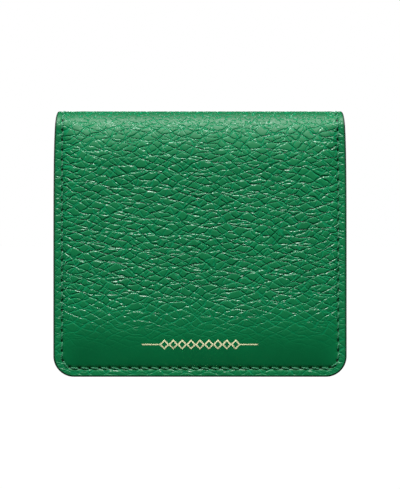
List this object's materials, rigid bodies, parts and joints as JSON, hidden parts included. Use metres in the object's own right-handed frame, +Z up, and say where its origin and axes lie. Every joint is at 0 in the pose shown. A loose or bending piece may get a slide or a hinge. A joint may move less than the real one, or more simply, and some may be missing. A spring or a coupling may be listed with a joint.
{
  "type": "folding card holder",
  "caption": "Fold-over leather card holder with padded halves, card pockets inside and a soft fold along its top.",
  "frame": {"origin": "centre of the bounding box at the lower edges that the closed holder stands on", "axes": "+Z up towards the fold, +X across the width, -Y out of the flap's face, which is the front"},
  "size_m": [0.099, 0.015, 0.0902],
  "materials": {
    "cover_leather": "pebbled, satin",
    "lining_leather": "smooth, matte",
    "pocket_leather": "smooth, satin",
    "filler_leather": "painted edge",
    "padding_foam": "matte foam",
    "thread": "twisted, waxed",
    "foil": "stamped, satin"
  },
  "bodies": {
    "back": {"back_cover": "cover_leather", "back_padding": "padding_foam", "back_lining": "lining_leather", "back_divider": "lining_leather", "back_upper_pocket": "pocket_leather", "back_lower_pocket": "pocket_leather", "back_fillers": "filler_leather", "back_seam_thread": "thread", "back_bobbin_thread": "thread", "back_foot_thread": "thread"},
    "flap": {"flap_cover": "cover_leather", "flap_padding": "padding_foam", "flap_lining": "lining_leather", "flap_divider": "lining_leather", "flap_upper_pocket": "pocket_leather", "flap_lower_pocket": "pocket_leather", "flap_fillers": "filler_leather", "flap_seam_thread": "thread", "flap_bobbin_thread": "thread", "flap_foot_thread": "thread", "foil_ornament": "foil"},
    "fold": {"fold_cover": "cover_leather", "fold_lining": "lining_leather", "fold_thread": "thread"}
  },
  "joints": [
    {"name": "back_crease", "type": "hinge", "parent": "back", "child": "fold", "pos_m": [0, 0.00424, 0.08824], "axis": [-1, 0, 0], "range_deg": [0, 90]},
    {"name": "flap_crease", "type": "hinge", "parent": "fold", "child": "flap", "pos_m": [0, -0.00424, 0.08824], "axis": [-1, 0, 0], "range_deg": [0, 90]}
  ],
  "couplings": [
    {"joint": "back_crease", "follows": "flap_crease", "ratio": 1}
  ]
}
